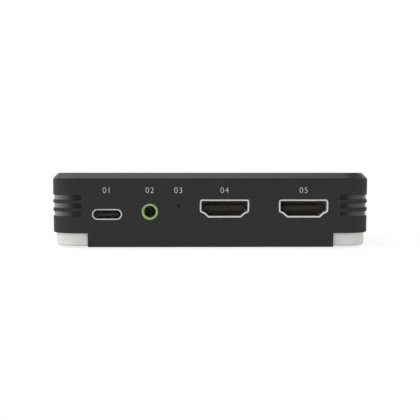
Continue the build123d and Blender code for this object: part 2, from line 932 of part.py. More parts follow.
# Push switch: base with its well, metal plate with a bracket, plunger, dome, terminals
switch_low_z = switch_height_z - switch_size / 2
with BuildPart() as switch_base:
    with Locations((switch_x, base_front_y, switch_low_z)):
        Box(
            switch_size,
            switch_base_depth,
            switch_size,
            align=(Align.CENTER, Align.MIN, Align.MIN),
        )
    with BuildSketch(port_plane(switch_x, base_front_y, switch_height_z)):
        Circle(switch_well_radius)
    extrude(amount=-switch_well_depth, mode=Mode.SUBTRACT)
save(switch_base.part, "mix_switch_base")

with BuildPart() as switch_bracket:
    with BuildSketch(port_plane(switch_x, base_front_y, switch_height_z)):
        Rectangle(switch_size + 2 * switch_plate, switch_size)
        Circle(plunger_radius + plunger_gap, mode=Mode.SUBTRACT)
    extrude(amount=switch_plate)
    for side in (-1, 1):
        with Locations((switch_x + side * bracket_leg_x, base_front_y, switch_low_z)):
            Box(
                switch_plate,
                switch_base_depth,
                switch_size,
                align=(Align.CENTER, Align.MIN, Align.MIN),
            )
    for leg_x, leg_y, leg_width, leg_depth in bracket_legs:
        with Locations((leg_x, leg_y, switch_low_z)):
            Box(leg_width, leg_depth, switch_low_z - board_height + leg_reach, align=hang)
save(switch_bracket.part, "mix_switch_bracket")

nub_length = switch_well_depth - stop_gap - plunger_flange_depth
nub_length -= dome_rise + dome_thickness + stop_gap
with BuildPart() as plunger:
    with BuildSketch(port_plane(switch_x, base_front_y + stop_gap, switch_height_z)):
        Circle(plunger_radius)
    extrude(amount=base_front_y + stop_gap - plunger_tip_y)
    fillet(plunger.edges().sort_by(Axis.Y)[0], plunger_round)
    with BuildSketch(port_plane(switch_x, base_front_y + stop_gap, switch_height_z)):
        Circle(plunger_flange_radius)
    extrude(amount=-plunger_flange_depth)
    with BuildSketch(port_plane(switch_x, base_front_y + stop_gap, switch_height_z)):
        Circle(plunger_nub_radius)
    extrude(amount=-plunger_flange_depth - nub_length)
save(plunger.part, "mix_switch_plunger")

dome_curve = (dome_radius**2 + dome_rise**2) / (2 * dome_rise)
dome_plane = Plane(
    origin=(switch_x, well_floor_y, switch_height_z), x_dir=(1, 0, 0), z_dir=(0, 0, 1)
)
dome_half_drop = math.sqrt(dome_curve**2 - (dome_radius / 2) ** 2) - dome_curve + dome_rise
with BuildPart() as dome:
    with BuildSketch(dome_plane):
        with BuildLine():
            ThreePointArc(
                (dome_radius, 0), (dome_radius / 2, -dome_half_drop), (0, -dome_rise)
            )
            Line((0, -dome_rise), (0, -dome_rise - dome_thickness))
            ThreePointArc(
                (0, -dome_rise - dome_thickness),
                (dome_radius / 2, -dome_half_drop - dome_thickness),
                (dome_radius, -dome_thickness),
            )
            Line((dome_radius, -dome_thickness), (dome_radius, 0))
        make_face()
    revolve(axis=Axis((switch_x, well_floor_y, switch_height_z), (0, 1, 0)))
save(dome.part, "mix_switch_dome")

with BuildPart() as switch_terminals:
    for leg_x, leg_y, leg_width, leg_depth in terminals:
        with Locations((leg_x, leg_y, switch_low_z)):
            Box(leg_width, leg_depth, switch_low_z - board_height + leg_reach, align=hang)
save(switch_terminals.part, "mix_switch_terminals")

# Chips on the board
chips = {
    "capture_processor": (processor_size, [(processor_x, processor_y)]),
    "video_splitter_chip": (splitter_size, under_can[:1]),
    "video_receiver_chip": (receiver_size, under_can[1:]),
    "memory_chips": (memory_size, [(x, memory_y) for x in memory_x]),
    "flash_chip": (flash_size, [(flash_x, inductor_y)]),
    "audio_codec_chip": (codec_size, [(left_tall_x, codec_depth_share * board_half_depth)]),
}
for chip_name, (chip_size, chip_places) in chips.items():
    chip_width, chip_depth, chip_height = chip_size
    dimple_x = chip_width / 2 - chip_dimple_inset
    dimple_y = chip_depth / 2 - chip_dimple_inset
    with BuildPart() as chip:
        with Locations([(*place, board_top) for place in chip_places]):
            Box(chip_width, chip_depth, chip_height, align=seat)
        chamfer(chip.edges().group_by(Axis.Z)[-1], chip_edge)
        with Locations([(*place, board_top) for place in chip_places]):
            with Locations((-dimple_x, -dimple_y, chip_height)):
                Cylinder(chip_dimple_radius, chip_dimple_depth, align=hang, mode=Mode.SUBTRACT)
    save(chip.part, chip_name)

# Bent leads along both sides of the flash chip
with BuildPart() as flash_leads:
    for step in range(lead_count):
        lead_y = inductor_y + lead_pitch * (step - (lead_count - 1) / 2)
        with BuildSketch(port_plane(flash_x, lead_y, board_top)) as lead_profile:
            lead_start = flash_size[0] / 2
            lead_knee = lead_start + lead_reach / 2
            span(lead_start, lead_knee, lead_rise, lead_rise + lead_thickness)
            span(lead_knee - lead_thickness, lead_knee, 0, lead_rise + lead_thickness)
            span(lead_knee - lead_thickness, lead_start + lead_reach, 0, lead_thickness)
            mirror(about=Plane.YZ)
        extrude(amount=lead_width / 2, both=True)
save(flash_leads.part, "flash_chip_leads")

# Heat sink on its pad, over the processor
pad_bottom = board_top + processor_size[2]
sink_bottom = pad_bottom + pad_thickness
with BuildPart() as thermal_pad:
    with Locations((processor_x, processor_y, pad_bottom)):
        Box(pad_size, pad_size, pad_thickness, align=seat)
save(thermal_pad.part, "thermal_pad")
with BuildPart() as heat_sink:
    with Locations((processor_x, processor_y, sink_bottom)):
        Box(sink_size, sink_size, sink_base, align=seat)
        with GridLocations((sink_size - fin_thickness) / (fin_count - 1), 0, fin_count, 1):
            Box(fin_thickness, sink_size, sink_height, align=seat)
save(heat_sink.part, "heat_sink")

# Screening frame and can over the two video chips
frame_inset = can_wall + can_gap
frame_height = can_height - can_wall
with BuildPart() as shield_frame:
    with BuildSketch(Plane((can_x, can_y, board_top))):
        RectangleRounded(
            can_width - 2 * frame_inset, can_depth - 2 * frame_inset, can_round - frame_inset
        )
    extrude(amount=frame_height)
    with Locations((can_x, can_y, board_top)):
        Box(
            can_width - 2 * (frame_inset + frame_wall),
            can_depth - 2 * (frame_inset + frame_wall),
            frame_height - frame_wall,
            align=seat,
            mode=Mode.SUBTRACT,
        )
        Box(
            can_width - 2 * (frame_inset + frame_lip),
            can_depth - 2 * (frame_inset + frame_lip),
            frame_height,
            align=seat,
            mode=Mode.SUBTRACT,
        )
save(shield_frame.part, "shield_frame")
with BuildPart() as shield_can:
    with BuildSketch(Plane((can_x, can_y, board_top + can_lift))):
        RectangleRounded(can_width, can_depth, can_round)
    extrude(amount=can_height - can_lift)
    with BuildSketch(Plane((can_x, can_y, board_top + can_lift))):
        RectangleRounded(can_width - 2 * can_wall, can_depth - 2 * can_wall, can_round - can_wall)
    extrude(amount=can_height - can_lift - can_wall, mode=Mode.SUBTRACT)
    with BuildSketch(Plane((can_x, can_y, board_top + can_height))):
        with GridLocations(can_hole_pitch, can_hole_pitch, can_hole_columns, can_hole_rows):
            Circle(can_hole_radius)
    extrude(amount=-can_wall, mode=Mode.SUBTRACT)
save(shield_can.part, "shield_can")

# Rows of small capacitors and resistors, each with a plated end on both sides
row_parts = {
    "ceramic_capacitors": (
        capacitor_size,
        (front_capacitors_y, back_capacitors_y, can_capacitors_y),
    ),
    "chip_resistors": (resistor_size, (front_resistors_y, back_resistors_y, can_resistors_y)),
}
for row_name, (row_size, (front_y, back_y, can_row_y)) in row_parts.items():
    part_width, part_length, part_height = row_size
    end_length = part_length * terminal_share
    row_places = [
        (processor_x, front_y, board_top),
        (memory_x[0], back_y, board_top),
        (flash_x, back_y, board_top),
        (can_x, can_row_y, board_top),
    ]
    with BuildPart() as row_bodies:
        with Locations(row_places):
            with GridLocations(row_pitch, 0, row_count, 1):
                Box(part_width, part_length - 2 * end_length, part_height, align=seat)
    save(row_bodies.part, row_name)
    with BuildPart() as row_ends:
        with Locations(row_places):
            with GridLocations(row_pitch, part_length - end_length, row_count, 2):
                Box(part_width, end_length, part_height, align=seat)
    save(row_ends.part, row_name[:-1] + "_ends")

# Power and timing parts
with BuildPart() as power_inductors:
    right_inductor_y = right_inductor_depth_share * board_half_depth
    with Locations(
        *[(x, inductor_y, board_top) for x in inductor_x],
        (right_tall_x, right_inductor_y, board_top),
    ):
        Box(inductor_size, inductor_size, inductor_height, align=seat)
    chamfer(power_inductors.edges().filter_by(Axis.Z), inductor_corner)
save(power_inductors.part, "power_inductors")

with BuildPart() as voltage_regulators:
    with Locations([(x, regulator_y, board_top) for x in inductor_x]):
        Box(regulator_width, regulator_depth, regulator_height, align=seat)
    chamfer(voltage_regulators.edges().group_by(Axis.Z)[-1], chip_edge)
save(voltage_regulators.part, "voltage_regulators")

with BuildPart() as crystal_cans:
    with Locations(
        (left_tall_x, left_crystal_depth_share * board_half_depth, board_top),
        (middle_gap_x, middle_crystal_depth_share * board_half_depth, board_top),
        (right_tall_x, right_crystal_depth_share * board_half_depth, board_top),
    ):
        Box(crystal_width, crystal_depth, crystal_height, align=seat)
    fillet(crystal_cans.edges().filter_by(Axis.Z), crystal_corner)
save(crystal_cans.part, "crystal_cans")

tall_places = [
    (left_tall_x, left_tall_depth_share * board_half_depth, board_top),
    (right_tall_x, 0, board_top),
]
with BuildPart() as tall_bases:
    with Locations(tall_places):
        Box(tall_base_size, tall_base_size, tall_base_height, align=seat)
save(tall_bases.part, "tall_capacitor_bases")
with BuildPart() as tall_capacitors:
    with Locations(tall_places):
        with Locations((0, 0, tall_base_height)):
            Cylinder(tall_capacitor_radius, tall_capacitor_height, align=seat)
    fillet(tall_capacitors.edges().group_by(Axis.Z)[-1], tall_capacitor_round)
save(tall_capacitors.part, "tall_capacitors")

with BuildPart() as surge_arrays:
    with Locations([(video_x, array_y, board_top) for video_x in video_places.values()]):
        with GridLocations(array_pitch, 0, array_count, 1):
            Box(array_width, array_depth, array_height, align=seat)
    chamfer(surge_arrays.edges().group_by(Axis.Z)[-1], chip_edge)
save(surge_arrays.part, "surge_arrays")
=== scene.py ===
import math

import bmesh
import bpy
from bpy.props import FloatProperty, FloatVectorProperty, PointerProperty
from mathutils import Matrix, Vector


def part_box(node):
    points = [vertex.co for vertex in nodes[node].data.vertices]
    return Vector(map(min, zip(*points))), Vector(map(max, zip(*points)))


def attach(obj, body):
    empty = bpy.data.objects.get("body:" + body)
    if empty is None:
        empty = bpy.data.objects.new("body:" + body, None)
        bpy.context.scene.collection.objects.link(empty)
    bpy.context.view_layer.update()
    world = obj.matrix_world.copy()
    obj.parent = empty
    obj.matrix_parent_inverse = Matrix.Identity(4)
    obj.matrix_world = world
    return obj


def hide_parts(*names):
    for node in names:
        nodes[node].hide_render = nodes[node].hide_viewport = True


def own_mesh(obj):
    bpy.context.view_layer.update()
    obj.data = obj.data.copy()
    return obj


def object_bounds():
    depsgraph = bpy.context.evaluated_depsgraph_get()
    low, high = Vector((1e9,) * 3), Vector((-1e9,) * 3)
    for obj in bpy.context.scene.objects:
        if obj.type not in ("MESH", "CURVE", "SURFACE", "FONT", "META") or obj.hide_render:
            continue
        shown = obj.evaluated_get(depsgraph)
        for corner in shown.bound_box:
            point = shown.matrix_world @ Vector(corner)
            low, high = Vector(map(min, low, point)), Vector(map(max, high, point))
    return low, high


bl_info = {
    "name": "Video Capture Box",
    "version": (1, 0, 0),
    "blender": (4, 5, 0),
    "location": "View3D > Sidebar > Capture Box",
    "description": "Finishes the packed video capture box: case, sockets, inner board and stage",
    "category": "Object",
}

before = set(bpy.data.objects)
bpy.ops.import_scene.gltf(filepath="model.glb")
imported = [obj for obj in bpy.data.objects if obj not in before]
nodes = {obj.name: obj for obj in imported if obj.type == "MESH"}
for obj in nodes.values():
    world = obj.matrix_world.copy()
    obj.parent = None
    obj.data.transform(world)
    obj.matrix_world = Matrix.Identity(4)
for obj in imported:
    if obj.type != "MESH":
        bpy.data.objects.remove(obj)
cad_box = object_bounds()

MM = 0.001
# Places this near count as level, or as on the axis
HAIR = MM / 100
DUST = MM / 1000
# Edges that turn by less than this are shaded smooth
SMOOTH_ANGLE = math.radians(40)
CASE = "case"


def mid(node):
    """The middle of a node's box."""
    low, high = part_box(node)
    return (low + high) / 2


def port_wall_point(x, z):
    """The point of the leaning port wall at a place along it and a height, and its slope."""
    low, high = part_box("body_shell")
    points = [vertex.co for vertex in nodes["body_shell"].data.vertices]
    foot = min(point.y for point in points if point.z < low.z + HAIR)
    slope = (foot - low.y) / (high.z - low.z)
    return Vector((x, low.y + slope * (high.z - z), z)), slope


def turned(name, profile, centre, sides=72):
    """A closed piece turned about an axis along Y, from distances off it and places along it."""
    shape = bmesh.new()
    turns = [math.tau * side / sides for side in range(sides)]
    rings = []
    for radius, y in profile:
        if radius < DUST:
            ring = [shape.verts.new((centre.x, y, centre.z))] * sides
        else:
            ring = [
                shape.verts.new((centre.x + radius * math.cos(turn), y, centre.z - radius * math.sin(turn)))
                for turn in turns
            ]
        rings.append(ring)
    for one, other in zip(rings, rings[1:]):
        for side in range(sides):
            corners = (one[side - 1], one[side], other[side], other[side - 1])
            # Corners that meet on the axis are taken once
            shape.faces.new(dict.fromkeys(corners))
    bmesh.ops.recalc_face_normals(shape, faces=shape.faces)
    mesh = bpy.data.meshes.new(name)
    shape.to_mesh(mesh)
    shape.free()
    mesh.shade_smooth()
    mesh.set_sharp_from_angle(angle=SMOOTH_ANGLE)
    piece = bpy.data.objects.new(name, mesh)
    bpy.context.scene.collection.objects.link(piece)
    return piece


# Sizes and colours that a user would change

def colour(name, description, default):
    """A colour property."""
    return FloatVectorProperty(
        name=name, description=description, default=default, subtype="COLOR", min=0, max=1
    )


def length(name, description, default):
    """A length property, in metres."""
    return FloatProperty(name=name, description=description, default=default, unit="LENGTH")


def share(name, description, default):
    """A property from 0 to 1."""
    return FloatProperty(
        name=name, description=description, default=default, subtype="FACTOR", min=0, max=1
    )


def number(name, description, default):
    """A property that is a plain number."""
    return FloatProperty(name=name, description=description, default=default)


class CaseLook(bpy.types.PropertyGroup):
    """Colours and finishes of the case"""

    cover: colour("Cover", "Colour of the lid's plastic", (0.0255, 0.0255, 0.0260))
    shell: colour("Shell", "Colour of the ring's plastic", (0.0385, 0.0385, 0.0388))
    base: colour("Base", "Colour of the pale base's plastic", (0.815, 0.815, 0.811))
    bars: colour("Bars", "Colour of the glossy bars in the corner slots", (0.0055, 0.0055, 0.0058))
    feet: colour("Feet", "Colour of the rubber feet", (0.022, 0.022, 0.022))
    screws: colour("Screws", "Colour of the black case screws", (0.10, 0.10, 0.105))
    cover_rough: share("Cover roughness", "Roughness of the lid's plastic", 0.33)
    shell_rough: share("Shell roughness", "Roughness of the ring's plastic", 0.55)
    base_rough: share("Base roughness", "Roughness of the base's plastic", 0.42)
    bar_rough: share("Bar roughness", "Roughness of the glossy bars", 0.14)
    feet_rough: share("Feet roughness", "Roughness of the rubber feet", 0.82)
    shell_gloss: share("Shell gloss", "Specular level of the ring's plastic", 0.08)
    bar_gloss: share("Bar gloss", "Specular level of the glossy bars", 1.0)
    grain: length("Grain", "Width of one grain of the moulded texture", 0.22 * MM)
    grain_depth: length("Grain depth", "Depth of the moulded texture", 0.012 * MM)
    edge: length("Edge", "Radius that sharp edges look rounded to", 0.12 * MM)


class PrintLook(bpy.types.PropertyGroup):
    """Ink and sizes of the printed numbers"""

    ink: colour("Ink", "Colour of the printed numbers", (0.74, 0.74, 0.74))
    height: length("Height", "Height of a printed digit", 1.68 * MM)
    level: length("Level", "Height of the numbers' middle over the table", 17.55 * MM)
    film: length("Film", "Thickness of the ink", 0.015 * MM)
    thinning: share("Thinning", "How far each stroke's edges move in, as a share of the font's size", 0.018)
    spacing: number("Spacing", "Room that each digit takes, as a share of the font's own", 1.12)


class SocketLook(bpy.types.PropertyGroup):
    """Colours of the sockets on the port wall, and the light painted deep inside them"""

    steel: colour("Steel", "Colour of the video sockets' plated shells", (0.93, 0.93, 0.92))
    data_steel: colour("Data steel", "Colour of the data socket's plated shell", (0.84, 0.84, 0.83))
    nylon: colour("Nylon", "Colour of the sockets' inner blocks", (0.008, 0.008, 0.008))
    # Painted light: the blocks are coloured paler deep inside, where little light reaches
    painted_light_nylon: colour("Painted light nylon", "Colour of the blocks deep inside", (0.15, 0.15, 0.15))
    painted_light_start: length("Painted light start", "Depth at which the blocks begin to be paler", 2 * MM)
    painted_light_end: length("Painted light end", "Depth from which the blocks are pale", 4 * MM)
    # Painted light: the audio socket is coloured near white deep inside, where little light reaches
    jack_painted_light: colour("Jack painted light", "Colour of the audio socket deep inside", (0.8, 0.8, 0.8))
    jack_painted_light_start: length("Jack painted light start", "Depth at which that colour begins", 0.5 * MM)
    jack_painted_light_end: length("Jack painted light end", "Depth from which that colour is full", 2 * MM)
    jack_springs: colour("Jack springs", "Colour of the audio socket's springs", (0.35, 0.34, 0.32))
    gold: colour("Gold", "Colour of the gold strips", (0.26, 0.205, 0.12))
    ring: colour("Ring", "Colour of the audio socket's ring", (0.355, 0.510, 0.190))


class SwitchLook(bpy.types.PropertyGroup):
    """Colours of the push switch, and its dome's thickness"""

    sheet: length("Sheet", "Thickness of the snap dome", 0.08 * MM)
    steel: colour("Steel", "Colour of the switch's metal", (0.60, 0.60, 0.60))
    nylon: colour("Nylon", "Colour of the switch's base", (0.012, 0.012, 0.012))
    plunger: colour("Plunger", "Colour of the plunger behind the pinhole", (0.7, 0.7, 0.7))


class BoardLook(bpy.types.PropertyGroup):
    """Colours of the circuit board and what stands on it"""

    lacquer: colour("Lacquer", "Colour of the board's lacquer", (0.012, 0.085, 0.035))
    track: colour("Track", "Colour of the lacquer over copper", (0.025, 0.16, 0.06))
    tin: colour("Tin", "Colour of tin plating", (0.66, 0.66, 0.66))
    resin: colour("Resin", "Colour of the chips' resin", (0.016, 0.016, 0.017))
    screws: colour("Board screws", "Colour of the board's bright screws", (0.60, 0.62, 0.66))
    sink: colour("Heat sink", "Colour of the heat sink", (0.045, 0.045, 0.05))
    pad: colour("Thermal pad", "Colour of the pad under the heat sink", (0.30, 0.38, 0.46))
    ceramic: colour("Ceramic", "Colour of the ceramic capacitors", (0.42, 0.30, 0.19))
    glaze: colour("Glaze", "Colour of the resistors' glaze", (0.02, 0.02, 0.02))
    ferrite: colour("Ferrite", "Colour of the inductors", (0.085, 0.085, 0.09))
    crystal: colour("Crystal", "Colour of the crystals' cans", (0.70, 0.68, 0.62))
    aluminium: colour("Aluminium", "Colour of the tall capacitors' cans", (0.78, 0.78, 0.79))
    nylon: colour("Nylon", "Colour of the tall capacitors' bases", (0.015, 0.015, 0.015))


class StageLook(bpy.types.PropertyGroup):
    """The floor, the room's light and the camera"""

    floor: colour("Floor", "Colour of the floor", (0.92, 0.92, 0.92))
    floor_seen: colour("Floor seen", "Colour of the floor to the eye", (0.25, 0.25, 0.25))
    floor_glow: share("Floor glow", "Light added to the floor where it is seen", 0.80)
    floor_gloss: share("Floor gloss", "Light added to the floor where gloss shows it", 0.10)
    floor_margin: length("Floor margin", "How far the floor reaches past the box", 60 * MM)
    side_glow: number("Side", "Brightness of the room's brightest side, the left", 2.0)
    low_share: number("Low sides", "Brightness of the room under the horizon, as a share", 0.78)
    low_rear_share: number("Low left rear", "The same at the left, towards the back", 1.25)
    back_glow: number("Back", "Brightness of the backdrop", 1.0)
    ceiling_glow: number("Ceiling", "Brightness of the ceiling", 0.28)
    softbox_glow: number("Soft box", "Brightness of the soft box in the ceiling", 1.8)
    front_glow: number("Front", "Brightness of the ceiling towards the camera", 1.2)
    eye_distance: length("Eye distance", "From the port wall to the camera", 220 * MM)
    eye_height: length("Eye height", "Height of the camera over the table", 22.6 * MM)
    eye_side: length("Eye side", "How far the camera stands to the right", -3.0 * MM)
    aim_side: length("Aim side", "Where the camera aims along the port wall", -0.24 * MM)
    view_width: length("View width", "Width of the picture at the port wall", 126.30 * MM)
    view_level: length("View level", "Height at the picture's middle, at the port wall", 11.593 * MM)


LOOKS = {
    "box_case": CaseLook,
    "box_print": PrintLook,
    "box_socket": SocketLook,
    "box_switch": SwitchLook,
    "box_board": BoardLook,
    "box_stage": StageLook,
}


# Materials

# Nearly all of a noise texture's values lie in this span
NOISE_SPAN = (0.3, 0.7)
# The moulded texture's cells, as a share of its grain
CELL_SHARE = 1.6
# Radii that the edges of plain plastic and of metal look rounded to
PLASTIC_EDGE = 0.06 * MM
METAL_EDGE = 0.05 * MM
EDGE_SAMPLES = 6
# How far the rounded normal agrees with the face's own, at an edge and where the flat begins
EDGE_SPAN = (0.86, 0.995)
# Rubbed edges: their width, the size of their patches, and their tone as a share of the plastic's
RUBBED_WIDTH = 0.3 * MM
RUBBED_PATCH = 1.4 * MM
RUBBED_SHARE = 1.8


class Wiring:
    """Adds and joins the nodes of a material or of the room."""

    def __init__(self, tree):
        self.tree = tree

    def add(self, kind, inputs=(), **settings):
        """Adds a node, with its settings and with what feeds its inputs."""
        node = self.tree.nodes.new("ShaderNode" + kind)
        for name, value in settings.items():
            setattr(node, name, value)
        for name, value in dict(inputs).items():
            self.feed(node.inputs[name], value)
        return node

    def feed(self, socket, value):
        """Links a socket's source, or sets its value."""
        if isinstance(value, bpy.types.NodeSocket):
            self.tree.links.new(value, socket)
        else:
            socket.default_value = value

    def math(self, kind, one, other=0):
        """A sum, product or the like of two values."""
        return self.add("Math", {0: one, 1: other}, operation=kind).outputs[0]

    def product(self, *values):
        """All the values multiplied."""
        result = values[0]
        for value in values[1:]:
            result = self.math("MULTIPLY", result, value)
        return result

    def between(self, value, span, results):
        """A value taken smoothly from a span, its start and end, to a span of results."""
        (start, end), (low, high) = span, results
        inputs = {"Value": value, "From Min": start, "From Max": end, "To Min": low, "To Max": high}
        return self.add("MapRange", inputs, interpolation_type="SMOOTHSTEP").outputs[0]

    def rising(self, value, span):
        """A share that goes from 0 to 1 over a span of values."""
        return self.between(value, span, (0, 1))

    def falling(self, value, span):
        """A share that goes from 1 to 0 over a span of values."""
        return self.between(value, span, (1, 0))

    def picked(self, amount, one, other):
        """One value where an amount is 0, and another where it is 1."""
        return self.add("Mix", {0: amount, 2: one, 3: other}).outputs[0]

    def ramp(self, value, stops):
        """A colour that runs through stops, each a place from 0 to 1 and a colour."""
        node = self.add("ValToRGB", {"Fac": value})
        marks = node.color_ramp.elements
        while len(marks) < len(stops):
            marks.new(1)
        for mark, (place, tone) in zip(marks, stops):
            mark.position = place
            mark.color = (*tone, 1)
        return node.outputs["Color"]


class Finish(Wiring):
    """One material: a shader, and the nodes that vary it over the surface."""

    def __init__(self, name, tint, rough, metallic=0.0, **sockets):
        self.material = bpy.data.materials.new(name)
        self.material.use_nodes = True
        super().__init__(self.material.node_tree)
        self.shader = self.tree.nodes["Principled BSDF"]
        self.tint = tuple(tint)
        self.rough = rough
        self.place = self.add("TexCoord").outputs["Object"]
        self.set(Metallic=metallic, Roughness=rough, **sockets)
        self.tone = (*self.tint, 1)
        self.set(Base_Color=self.tone)
        self.normal = None

    def set(self, **sockets):
        """Feeds the shader's sockets, named with _ for a space."""
        for name, value in sockets.items():
            self.feed(self.shader.inputs[name.replace("_", " ")], value)

    def spots(self, kind, grain, stretch=(1, 1, 1), inputs=(), **settings):
        """A texture node whose features have a size, longer along an axis whose stretch is small."""
        scale = [axis / grain for axis in stretch]
        here = self.add("Mapping", {"Vector": self.place, "Scale": scale}).outputs[0]
        return self.add(kind, {"Vector": here, "Scale": 1, **dict(inputs)}, **settings)

    def noise(self, grain, stretch=(1, 1, 1), detail=2.0):
        """Soft noise from 0 to 1."""
        return self.spots("TexNoise", grain, stretch, inputs={"Detail": detail}).outputs["Fac"]

    def mixed(self, amount, one, other):
        """Two colours mixed."""
        node = self.add("Mix", data_type="RGBA")
        named = {socket.identifier: socket for socket in node.inputs}
        for name, value in (("Factor_Float", amount), ("A_Color", one), ("B_Color", other)):
            self.feed(named[name], value)
        return next(socket for socket in node.outputs if socket.identifier == "Result_Color")

    def mottled(self, grain, amount):
        """Varies the colour a little, in patches of a size."""
        low = [value * (1 - amount) for value in self.tint]
        high = [min(1, value * (1 + amount)) for value in self.tint]
        stops = tuple(zip(NOISE_SPAN, (low, high)))
        self.tone = self.ramp(self.noise(grain), stops)
        self.set(Base_Color=self.tone)

    def patchy(self, grain, amount, stretch=(1, 1, 1)):
        """Varies the roughness a little, in patches of a size."""
        results = (self.rough - amount, self.rough + amount)
        self.set(Roughness=self.between(self.noise(grain, stretch), NOISE_SPAN, results))

    def rounded(self, radius):
        """Makes sharp edges catch the light as if rounded."""
        bevel = self.add("Bevel", {"Radius": radius}, samples=EDGE_SAMPLES)
        self.normal = bevel.outputs["Normal"]
        self.set(Normal=self.normal)

    def bumped(self, height, depth):
        """Raises the surface by a value times a depth."""
        inputs = {"Height": height, "Distance": depth, "Strength": 1.0}
        if self.normal:
            inputs["Normal"] = self.normal
        self.normal = self.add("Bump", inputs).outputs["Normal"]
        self.set(Normal=self.normal)

    def painted_light_inside(self, start, end, tone):
        """Painted light: turns to another tone from one place along Y to another, paler deep inside a
        socket where little light reaches.
        """
        depth = self.add("SeparateXYZ", {0: self.place}).outputs[1]
        self.tone = self.mixed(self.rising(depth, (start, end)), self.tone, (*tone, 1))
        self.set(Base_Color=self.tone)

    def worn(self, radius, tone, amount):
        """Rubs edges to another tone, in uneven patches."""
        edge = self.add("Bevel", {"Radius": radius}, samples=EDGE_SAMPLES).outputs["Normal"]
        flat = self.add("NewGeometry").outputs["Normal"]
        alike = self.add("VectorMath", {0: edge, 1: flat}, operation="DOT_PRODUCT").outputs["Value"]
        rub = self.between(alike, EDGE_SPAN, (amount, 0))
        rub = self.product(rub, self.noise(RUBBED_PATCH))
        self.tone = self.mixed(rub, self.tone, (*tone, 1))
        self.set(Base_Color=self.tone)

    def put_on(self, *names):
        """Gives CAD nodes or pieces this material."""
        for name in names:
            data = bpy.data.objects[name].data
            data.materials.clear()
            data.materials.append(self.material)


def moulded_plastic(name, tint, rough, look, rub=0.4, **sockets):
    """Textured plastic from a spark-cut mould."""
    finish = Finish(name, tint, rough, **sockets)
    finish.mottled(grain=3 * MM, amount=0.02)
    finish.patchy(grain=1.5 * MM, amount=0.02)
    finish.rounded(look.edge)
    fine = finish.noise(look.grain, detail=3)
    cells = finish.spots("TexVoronoi", CELL_SHARE * look.grain, feature="SMOOTH_F1").outputs["Distance"]
    finish.bumped(finish.math("ADD", fine, cells), look.grain_depth)
    finish.worn(RUBBED_WIDTH, [min(1, value * RUBBED_SHARE) for value in tint], rub)
    return finish


def plain_plastic(name, tint, rough, grain=0.3 * MM, depth=0.004 * MM, **sockets):
    """Smooth moulded plastic or resin with a faint grain."""
    finish = Finish(name, tint, rough, **sockets)
    finish.mottled(grain=2.5 * MM, amount=0.10)
    finish.patchy(grain=1.2 * MM, amount=0.05)
    finish.rounded(PLASTIC_EDGE)
    finish.bumped(finish.noise(grain, detail=3), depth)
    return finish


def plated_metal(name, tint, rough, run=(1, 1, 1), grain=0.12 * MM, **sockets):
    """Drawn and plated metal, with fine lines along an axis whose run is small."""
    finish = Finish(name, tint, rough, metallic=1.0, **sockets)
    finish.mottled(grain=1.8 * MM, amount=0.06)
    finish.patchy(grain, amount=0.07, stretch=run)
    finish.rounded(METAL_EDGE)
    finish.bumped(finish.noise(grain, run, detail=3), depth=0.003 * MM)
    return finish


# The pieces

class CAPTURE_BOX_OT_top_cover(bpy.types.Operator):
    """Finishes the dark lid with its wide chamfer"""

    bl_idname = "capture_box.top_cover"
    bl_label = "Top Cover"
    bl_options = {"REGISTER", "UNDO"}

    def execute(self, context):
        look = context.scene.box_case
        moulded_plastic("cover_plastic", look.cover, look.cover_rough, look).put_on("top_cover")
        return {"FINISHED"}


class CAPTURE_BOX_OT_body_shell(bpy.types.Operator):
    """Finishes the dark ring that holds the sockets and the corner slots"""

    bl_idname = "capture_box.body_shell"
    bl_label = "Body Shell"
    bl_options = {"REGISTER", "UNDO"}

    def execute(self, context):
        look = context.scene.box_case
        finish = moulded_plastic(
            "case_plastic", look.shell, look.shell_rough, look, Specular_IOR_Level=look.shell_gloss
        )
        finish.put_on("body_shell")
        return {"FINISHED"}


class CAPTURE_BOX_OT_base_shell(bpy.types.Operator):
    """Finishes the pale base"""

    bl_idname = "capture_box.base_shell"
    bl_label = "Base"
    bl_options = {"REGISTER", "UNDO"}

    def execute(self, context):
        look = context.scene.box_case
        finish = moulded_plastic("base_plastic", look.base, look.base_rough, look, rub=0)
        finish.put_on("base_shell")
        return {"FINISHED"}


class CAPTURE_BOX_OT_corner_bars(bpy.types.Operator):
    """Finishes the glossy bars that fill the corner slots"""

    bl_idname = "capture_box.corner_bars"
    bl_label = "Corner Bars"
    bl_options = {"REGISTER", "UNDO"}

    def execute(self, context):
        look = context.scene.box_case
        finish = plain_plastic(
            "bar_plastic", look.bars, look.bar_rough, grain=0.8 * MM, Specular_IOR_Level=look.bar_gloss
        )
        finish.put_on(*[name for name in nodes if name.startswith("corner_bars")])
        return {"FINISHED"}


class CAPTURE_BOX_OT_rubber_feet(bpy.types.Operator):
    """Finishes the four rubber feet"""

    bl_idname = "capture_box.rubber_feet"
    bl_label = "Rubber Feet"
    bl_options = {"REGISTER", "UNDO"}

    def execute(self, context):
        look = context.scene.box_case
        finish = Finish("foot_rubber", look.feet, look.feet_rough)
        finish.mottled(grain=1.6 * MM, amount=0.25)
        finish.patchy(grain=0.8 * MM, amount=0.08)
        finish.bumped(finish.noise(grain=0.16 * MM, detail=4), depth=0.02 * MM)
        finish.put_on("rubber_feet")
        return {"FINISHED"}


class CAPTURE_BOX_OT_screws(bpy.types.Operator):
    """Finishes the case screws and the board screws"""

    bl_idname = "capture_box.screws"
    bl_label = "Screws"
    bl_options = {"REGISTER", "UNDO"}

    def execute(self, context):
        scene = context.scene
        plated_metal("black_zinc", scene.box_case.screws, rough=0.34).put_on("case_screws")
        plated_metal("bright_zinc", scene.box_board.screws, rough=0.26).put_on("board_screws")
        return {"FINISHED"}


# The nodes that a number is printed over, from left to right
NUMBERED = (
    "data_socket_shell",
    "audio_socket_ring",
    "mix_switch_plunger",
    "video_out_shell",
    "video_in_shell",
)


